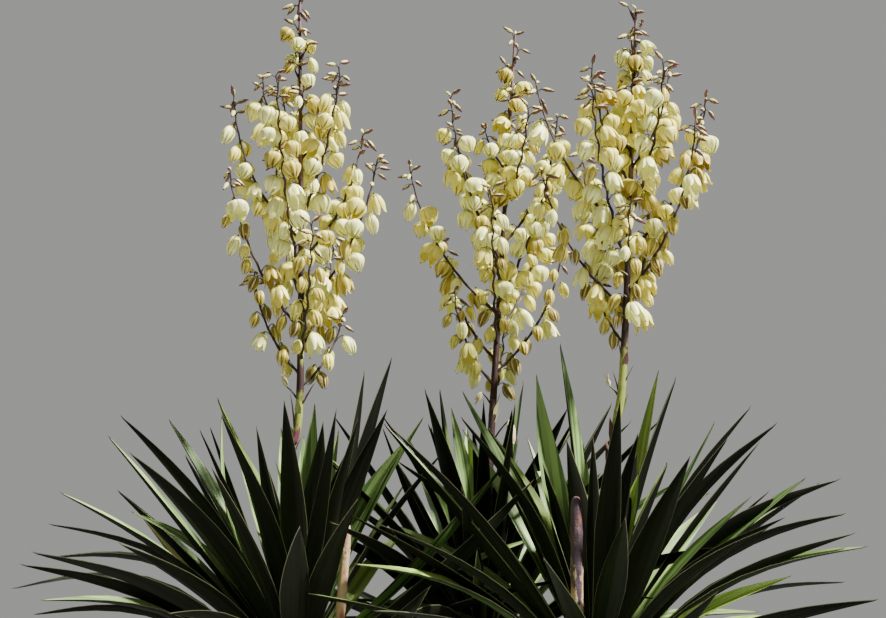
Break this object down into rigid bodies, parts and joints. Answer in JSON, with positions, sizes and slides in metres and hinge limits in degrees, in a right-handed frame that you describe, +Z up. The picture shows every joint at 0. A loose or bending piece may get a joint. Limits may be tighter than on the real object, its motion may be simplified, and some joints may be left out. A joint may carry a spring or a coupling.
{
  "type": "branched yucca in flower",
  "caption": "Small garden yucca with a forked trunk, heads of stiff sword leaves and tall sprays of hanging cream bells",
  "frame": {"origin": "Middle of the flat cut under the trunk, at ground level", "axes": "+Z up along the trunk, +X to the right and +Y away from the side that the picture shows"},
  "size_m": [1.962, 1.6319, 3.2901],
  "materials": {
    "bark": "rough grey-brown fibrous bark with leaf scars",
    "leaf": "smooth leathery dark green blade with a thin pale edge",
    "flower_stalk": "satin yellow-green stalk flushed purple-brown",
    "blossom": "waxy cream-white petals, greenish at the base",
    "dry_stalk": "dry weathered purple-brown stalk, cut off flat"
  },
  "bodies": {
    "root": {"trunk": "bark", "left_bough": "bark", "middle_bough": "bark", "right_bough": "bark", "left_cut_stalk": "dry_stalk", "right_cut_stalk": "dry_stalk", "left_flower_stalk": "flower_stalk", "middle_flower_stalk": "flower_stalk", "right_flower_stalk": "flower_stalk", "left_outer_leaves": "leaf", "left_middle_leaves": "leaf", "left_inner_leaves": "leaf", "middle_outer_leaves": "leaf", "middle_middle_leaves": "leaf", "middle_inner_leaves": "leaf", "right_outer_leaves": "leaf", "right_middle_leaves": "leaf", "right_inner_leaves": "leaf", "left_flower_spray": "blossom", "middle_flower_spray": "blossom", "right_flower_spray": "blossom"}
  },
  "joints": []
}
